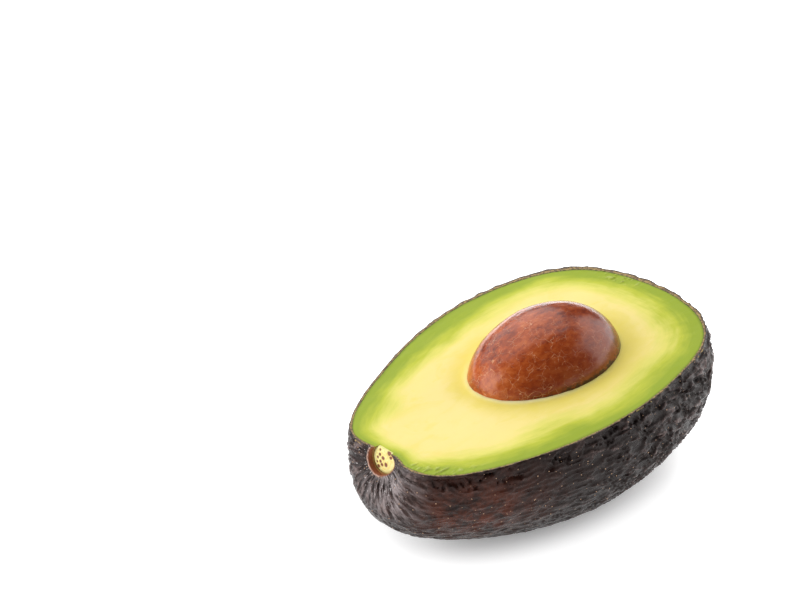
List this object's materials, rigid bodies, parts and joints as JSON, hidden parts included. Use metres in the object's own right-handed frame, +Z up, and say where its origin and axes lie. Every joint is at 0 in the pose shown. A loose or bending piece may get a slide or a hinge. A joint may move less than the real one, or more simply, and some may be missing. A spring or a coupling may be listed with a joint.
{
  "type": "avocado half",
  "caption": "Avocado half with its seed, cut lengthwise, lying on its dark pebbled peel with the yellow-green cut face up.",
  "frame": {"origin": "middle of the object's box, at the level of the surface that it rests on", "axes": "+X from the stem end to the blossom end, +Z up; the cut face leans 5.5 degrees, its stem end the lower"},
  "size_m": [0.0988, 0.0672, 0.0518],
  "materials": {
    "peel": "pebbled, satin, near-black purple-brown",
    "flesh": "moist, pale yellow, green towards the peel",
    "seed": "smooth satin, chestnut brown with fine pale fibres",
    "stem_plug": "matte, corky, yellow with brown dots"
  },
  "bodies": {
    "root": {"peel": "peel", "flesh": "flesh", "seed": "seed", "stem_plug": "stem_plug"}
  },
  "joints": []
}
